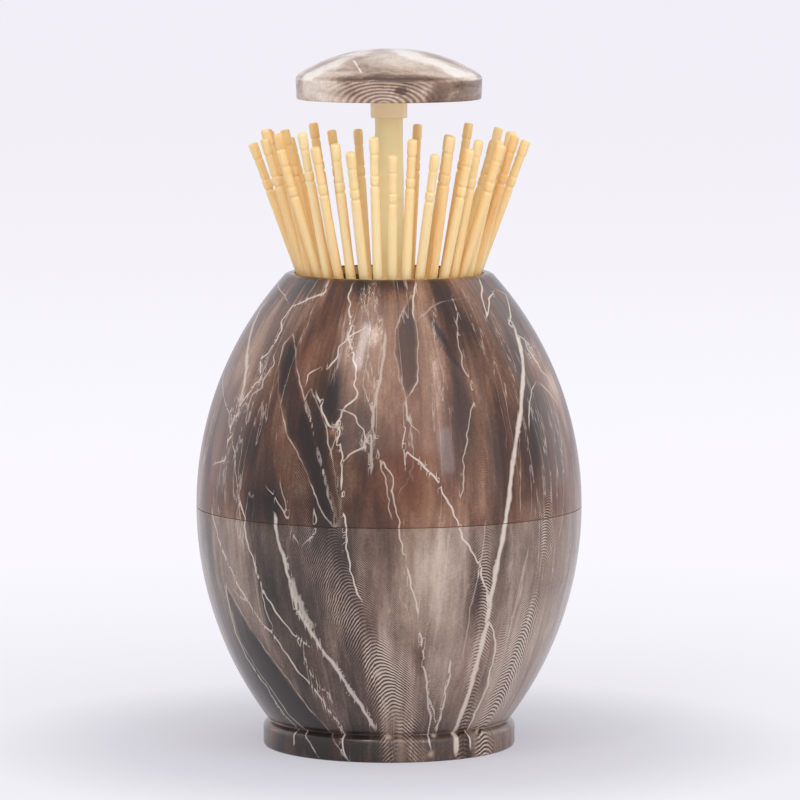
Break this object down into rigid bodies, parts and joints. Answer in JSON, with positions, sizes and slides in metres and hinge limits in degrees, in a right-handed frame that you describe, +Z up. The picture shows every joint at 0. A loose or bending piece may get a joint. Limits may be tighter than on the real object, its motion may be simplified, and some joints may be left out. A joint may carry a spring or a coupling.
{
  "type": "toothpick holder",
  "caption": "Egg-shaped pop-up toothpick holder in marbled plastic: a press-down lid on a stem lifts a spring-loaded tray and fans the toothpicks over the rim.",
  "frame": {"origin": "middle of the holder's underside, on the table", "axes": "+Z up the stem to the lid, -Y towards the viewer of the picture, +X to the viewer's right"},
  "size_m": [0.076, 0.076, 0.1374],
  "materials": {
    "shell_lower": "glossy printed marble, grey-brown",
    "shell_upper": "glossy printed marble, warm brown",
    "base_plastic": "moulded, matt",
    "steel": "bright zinc plate",
    "spring_steel": "drawn wire",
    "collar_plastic": "glossy pinkish cream",
    "stem_plastic": "glossy cream",
    "bush_plastic": "self-lubricating white plastic",
    "tray_plastic": "moulded cream",
    "pick_wood": "pale turned birch, unvarnished"
  },
  "bodies": {
    "lower_body": {"lower_shell": "shell_lower", "base_plate": "base_plastic", "base_screws": "steel", "guide_post": "steel", "post_screw": "steel", "stop_screw": "steel", "lift_spring": "spring_steel"},
    "upper_body": {"upper_shell": "shell_upper"},
    "plunger": {"cap": "shell_upper", "cap_plug": "collar_plastic", "stem": "stem_plastic", "stem_bush": "bush_plastic", "tray": "tray_plastic", "tray_clip": "steel", "tray_screws": "steel", "cam_block": "bush_plastic"},
    "hook": {"latch_hook": "steel", "hook_clip": "spring_steel"},
    "toothpick_01": {"toothpick_01": "pick_wood"},
    "toothpick_02": {"toothpick_02": "pick_wood"},
    "toothpick_03": {"toothpick_03": "pick_wood"},
    "toothpick_04": {"toothpick_04": "pick_wood"},
    "toothpick_05": {"toothpick_05": "pick_wood"},
    "toothpick_06": {"toothpick_06": "pick_wood"},
    "toothpick_07": {"toothpick_07": "pick_wood"},
    "toothpick_08": {"toothpick_08": "pick_wood"},
    "toothpick_09": {"toothpick_09": "pick_wood"},
    "toothpick_10": {"toothpick_10": "pick_wood"},
    "toothpick_11": {"toothpick_11": "pick_wood"},
    "toothpick_12": {"toothpick_12": "pick_wood"},
    "toothpick_13": {"toothpick_13": "pick_wood"},
    "toothpick_14": {"toothpick_14": "pick_wood"},
    "toothpick_15": {"toothpick_15": "pick_wood"},
    "toothpick_16": {"toothpick_16": "pick_wood"},
    "toothpick_17": {"toothpick_17": "pick_wood"},
    "toothpick_18": {"toothpick_18": "pick_wood"},
    "toothpick_19": {"toothpick_19": "pick_wood"},
    "toothpick_20": {"toothpick_20": "pick_wood"},
    "toothpick_21": {"toothpick_21": "pick_wood"},
    "toothpick_22": {"toothpick_22": "pick_wood"},
    "toothpick_23": {"toothpick_23": "pick_wood"},
    "toothpick_24": {"toothpick_24": "pick_wood"},
    "toothpick_25": {"toothpick_25": "pick_wood"},
    "toothpick_26": {"toothpick_26": "pick_wood"},
    "toothpick_27": {"toothpick_27": "pick_wood"},
    "toothpick_28": {"toothpick_28": "pick_wood"},
    "toothpick_29": {"toothpick_29": "pick_wood"},
    "toothpick_30": {"toothpick_30": "pick_wood"},
    "toothpick_31": {"toothpick_31": "pick_wood"},
    "toothpick_32": {"toothpick_32": "pick_wood"},
    "toothpick_33": {"toothpick_33": "pick_wood"},
    "toothpick_34": {"toothpick_34": "pick_wood"},
    "toothpick_35": {"toothpick_35": "pick_wood"},
    "toothpick_36": {"toothpick_36": "pick_wood"}
  },
  "joints": [
    {"name": "press", "type": "slide", "parent": "lower_body", "child": "plunger", "axis": [0, 0, 1], "range_m": [-0.038, 0], "stiffness_N_per_m": 60, "springref_m": 0.02, "deforming": ["lift_spring"]},
    {"name": "twist", "type": "hinge", "parent": "lower_body", "child": "upper_body", "pos_m": [0, 0, 0.0475], "axis": [0, 0, 1], "range_deg": [0, 20]},
    {"name": "hook_swing", "type": "hinge", "parent": "lower_body", "child": "hook", "pos_m": [0.0145, 0, 0.0048], "axis": [-1, 0, 0], "range_deg": [0, 19], "stiffness_Nm_per_rad": 0.0002},
    {"name": "toothpick_01_lean", "type": "hinge", "parent": "plunger", "child": "toothpick_01", "pos_m": [-0.00419, -0.00022, 0.0579], "axis": [0.0293, -0.9996, 0], "range_deg": [-20.29, 0]},
    {"name": "toothpick_02_lean", "type": "hinge", "parent": "plunger", "child": "toothpick_02", "pos_m": [-0.00817, -0.00144, 0.05831], "axis": [0.2065, -0.9784, 0], "range_deg": [-14.44, 0]},
    {"name": "toothpick_03_lean", "type": "hinge", "parent": "plunger", "child": "toothpick_03", "pos_m": [-0.00583, -0.00224, 0.0581], "axis": [0.3328, -0.943, 0], "range_deg": [-17.42, 0]},
    {"name": "toothpick_04_lean", "type": "hinge", "parent": "plunger", "child": "toothpick_04", "pos_m": [-0.00719, -0.00415, 0.05831], "axis": [0.4707, -0.8823, 0], "range_deg": [-14.44, 0]},
    {"name": "toothpick_05_lean", "type": "hinge", "parent": "plunger", "child": "toothpick_05", "pos_m": [-0.00335, -0.00253, 0.0579], "axis": [0.62, -0.7846, 0], "range_deg": [-20.29, 0]},
    {"name": "toothpick_06_lean", "type": "hinge", "parent": "plunger", "child": "toothpick_06", "pos_m": [-0.00566, -0.00607, 0.05831], "axis": [0.7314, -0.682, 0], "range_deg": [-14.43, 0]},
    {"name": "toothpick_07_lean", "type": "hinge", "parent": "plunger", "child": "toothpick_07", "pos_m": [-0.00349, -0.00518, 0.0581], "axis": [0.829, -0.5592, 0], "range_deg": [-17.42, 0]},
    {"name": "toothpick_08_lean", "type": "hinge", "parent": "plunger", "child": "toothpick_08", "pos_m": [-0.00338, -0.00758, 0.05831], "axis": [0.8994, -0.4371, 0], "range_deg": [-14.44, 0]},
    {"name": "toothpick_09_lean", "type": "hinge", "parent": "plunger", "child": "toothpick_09", "pos_m": [-0.00109, -0.00406, 0.0579], "axis": [0.9597, -0.281, 0], "range_deg": [-20.29, 0]},
    {"name": "toothpick_10_lean", "type": "hinge", "parent": "plunger", "child": "toothpick_10", "pos_m": [-0.00115, -0.00822, 0.05831], "axis": [0.9944, -0.106, 0], "range_deg": [-14.44, 0]},
    {"name": "toothpick_11_lean", "type": "hinge", "parent": "plunger", "child": "toothpick_11", "pos_m": [0.00033, -0.00624, 0.0581], "axis": [0.9997, 0.0251, 0], "range_deg": [-17.42, 0]},
    {"name": "toothpick_12_lean", "type": "hinge", "parent": "plunger", "child": "toothpick_12", "pos_m": [0.00173, -0.00812, 0.05831], "axis": [0.9846, 0.1751, 0], "range_deg": [-14.44, 0]},
    {"name": "toothpick_13_lean", "type": "hinge", "parent": "plunger", "child": "toothpick_13", "pos_m": [0.00157, -0.00389, 0.0579], "axis": [0.9434, 0.3315, 0], "range_deg": [-20.29, 0]},
    {"name": "toothpick_14_lean", "type": "hinge", "parent": "plunger", "child": "toothpick_14", "pos_m": [0.0039, -0.00733, 0.05831], "axis": [0.8667, 0.4988, 0], "range_deg": [-14.44, 0]},
    {"name": "toothpick_15_lean", "type": "hinge", "parent": "plunger", "child": "toothpick_15", "pos_m": [0.00376, -0.00499, 0.0581], "axis": [0.7819, 0.6234, 0], "range_deg": [-17.42, 0]},
    {"name": "toothpick_16_lean", "type": "hinge", "parent": "plunger", "child": "toothpick_16", "pos_m": [0.00597, -0.00577, 0.05831], "axis": [0.6947, 0.7193, 0], "range_deg": [-14.43, 0]},
    {"name": "toothpick_17_lean", "type": "hinge", "parent": "plunger", "child": "toothpick_17", "pos_m": [0.0034, -0.00247, 0.0579], "axis": [0.5878, 0.809, 0], "range_deg": [-20.28, 0]},
    {"name": "toothpick_18_lean", "type": "hinge", "parent": "plunger", "child": "toothpick_18", "pos_m": [0.00739, -0.00377, 0.05831], "axis": [0.454, 0.891, 0], "range_deg": [-14.43, 0]},
    {"name": "toothpick_19_lean", "type": "hinge", "parent": "plunger", "child": "toothpick_19", "pos_m": [0.00594, -0.00193, 0.0581], "axis": [0.309, 0.9511, 0], "range_deg": [-17.42, 0]},
    {"name": "toothpick_20_lean", "type": "hinge", "parent": "plunger", "child": "toothpick_20", "pos_m": [0.00822, -0.00115, 0.05831], "axis": [0.1722, 0.9851, 0], "range_deg": [-14.44, 0]},
    {"name": "toothpick_21_lean", "type": "hinge", "parent": "plunger", "child": "toothpick_21", "pos_m": [0.0042, 0.00007, 0.0579], "axis": [0.0056, 1, 0], "range_deg": [-20.29, 0]},
    {"name": "toothpick_22_lean", "type": "hinge", "parent": "plunger", "child": "toothpick_22", "pos_m": [0.00822, 0.00115, 0.05831], "axis": [-0.1722, 0.9851, 0], "range_deg": [-14.44, 0]},
    {"name": "toothpick_23_lean", "type": "hinge", "parent": "plunger", "child": "toothpick_23", "pos_m": [0.00591, 0.00203, 0.0581], "axis": [-0.2997, 0.954, 0], "range_deg": [-17.42, 0]},
    {"name": "toothpick_24_lean", "type": "hinge", "parent": "plunger", "child": "toothpick_24", "pos_m": [0.00719, 0.00415, 0.05831], "axis": [-0.441, 0.8975, 0], "range_deg": [-14.45, 0]},
    {"name": "toothpick_25_lean", "type": "hinge", "parent": "plunger", "child": "toothpick_25", "pos_m": [0.00331, 0.00259, 0.0579], "axis": [-0.6157, 0.788, 0], "range_deg": [-20.28, 0]},
    {"name": "toothpick_26_lean", "type": "hinge", "parent": "plunger", "child": "toothpick_26", "pos_m": [0.00522, 0.00645, 0.05831], "axis": [-0.7557, 0.655, 0], "range_deg": [-14.44, 0]},
    {"name": "toothpick_27_lean", "type": "hinge", "parent": "plunger", "child": "toothpick_27", "pos_m": [0.00293, 0.00552, 0.0581], "axis": [-0.8829, 0.4695, 0], "range_deg": [-17.42, 0]},
    {"name": "toothpick_28_lean", "type": "hinge", "parent": "plunger", "child": "toothpick_28", "pos_m": [0.00229, 0.00798, 0.05831], "axis": [-0.9775, 0.2108, 0], "range_deg": [-14.45, 0]},
    {"name": "toothpick_29_lean", "type": "hinge", "parent": "plunger", "child": "toothpick_29", "pos_m": [-0.00007, 0.0042, 0.0579], "axis": [-1, 0.0056, 0], "range_deg": [-20.29, 0]},
    {"name": "toothpick_30_lean", "type": "hinge", "parent": "plunger", "child": "toothpick_30", "pos_m": [-0.00215, 0.00802, 0.05831], "axis": [-0.9659, -0.2588, 0], "range_deg": [-14.43, 0]},
    {"name": "toothpick_31_lean", "type": "hinge", "parent": "plunger", "child": "toothpick_31", "pos_m": [-0.00303, 0.00547, 0.0581], "axis": [-0.8998, -0.4364, 0], "range_deg": [-17.43, 0]},
    {"name": "toothpick_32_lean", "type": "hinge", "parent": "plunger", "child": "toothpick_32", "pos_m": [-0.00511, 0.00654, 0.05831], "axis": [-0.788, -0.6157, 0], "range_deg": [-14.43, 0]},
    {"name": "toothpick_33_lean", "type": "hinge", "parent": "plunger", "child": "toothpick_33", "pos_m": [-0.00317, 0.00276, 0.0579], "axis": [-0.6733, -0.7394, 0], "range_deg": [-20.29, 0]},
    {"name": "toothpick_34_lean", "type": "hinge", "parent": "plunger", "child": "toothpick_34", "pos_m": [-0.00696, 0.00452, 0.05831], "axis": [-0.5163, -0.8564, 0], "range_deg": [-14.44, 0]},
    {"name": "toothpick_35_lean", "type": "hinge", "parent": "plunger", "child": "toothpick_35", "pos_m": [-0.00575, 0.00244, 0.0581], "axis": [-0.3907, -0.9205, 0], "range_deg": [-17.42, 0]},
    {"name": "toothpick_36_lean", "type": "hinge", "parent": "plunger", "child": "toothpick_36", "pos_m": [-0.00817, 0.00144, 0.05831], "axis": [-0.2065, -0.9784, 0], "range_deg": [-14.44, 0]}
  ],
  "couplings": [
    {"joint": "toothpick_01_lean", "follows": "press", "rad_per_m": 9.3075},
    {"joint": "toothpick_02_lean", "follows": "press", "rad_per_m": 6.621},
    {"joint": "toothpick_03_lean", "follows": "press", "rad_per_m": 7.9934},
    {"joint": "toothpick_04_lean", "follows": "press", "rad_per_m": 6.621},
    {"joint": "toothpick_05_lean", "follows": "press", "rad_per_m": 9.3075},
    {"joint": "toothpick_06_lean", "follows": "press", "rad_per_m": 6.6193},
    {"joint": "toothpick_07_lean", "follows": "press", "rad_per_m": 7.9924},
    {"joint": "toothpick_08_lean", "follows": "press", "rad_per_m": 6.621},
    {"joint": "toothpick_09_lean", "follows": "press", "rad_per_m": 9.3075},
    {"joint": "toothpick_10_lean", "follows": "press", "rad_per_m": 6.621},
    {"joint": "toothpick_11_lean", "follows": "press", "rad_per_m": 7.9934},
    {"joint": "toothpick_12_lean", "follows": "press", "rad_per_m": 6.621},
    {"joint": "toothpick_13_lean", "follows": "press", "rad_per_m": 9.3091},
    {"joint": "toothpick_14_lean", "follows": "press", "rad_per_m": 6.621},
    {"joint": "toothpick_15_lean", "follows": "press", "rad_per_m": 7.9934},
    {"joint": "toothpick_16_lean", "follows": "press", "rad_per_m": 6.6193},
    {"joint": "toothpick_17_lean", "follows": "press", "rad_per_m": 9.3069},
    {"joint": "toothpick_18_lean", "follows": "press", "rad_per_m": 6.6193},
    {"joint": "toothpick_19_lean", "follows": "press", "rad_per_m": 7.9924},
    {"joint": "toothpick_20_lean", "follows": "press", "rad_per_m": 6.621},
    {"joint": "toothpick_21_lean", "follows": "press", "rad_per_m": 9.3075},
    {"joint": "toothpick_22_lean", "follows": "press", "rad_per_m": 6.621},
    {"joint": "toothpick_23_lean", "follows": "press", "rad_per_m": 7.9934},
    {"joint": "toothpick_24_lean", "follows": "press", "rad_per_m": 6.6261},
    {"joint": "toothpick_25_lean", "follows": "press", "rad_per_m": 9.3069},
    {"joint": "toothpick_26_lean", "follows": "press", "rad_per_m": 6.621},
    {"joint": "toothpick_27_lean", "follows": "press", "rad_per_m": 7.9924},
    {"joint": "toothpick_28_lean", "follows": "press", "rad_per_m": 6.6261},
    {"joint": "toothpick_29_lean", "follows": "press", "rad_per_m": 9.3075},
    {"joint": "toothpick_30_lean", "follows": "press", "rad_per_m": 6.6193},
    {"joint": "toothpick_31_lean", "follows": "press", "rad_per_m": 7.9964},
    {"joint": "toothpick_32_lean", "follows": "press", "rad_per_m": 6.6193},
    {"joint": "toothpick_33_lean", "follows": "press", "rad_per_m": 9.3075},
    {"joint": "toothpick_34_lean", "follows": "press", "rad_per_m": 6.621},
    {"joint": "toothpick_35_lean", "follows": "press", "rad_per_m": 7.9924},
    {"joint": "toothpick_36_lean", "follows": "press", "rad_per_m": 6.621}
  ]
}
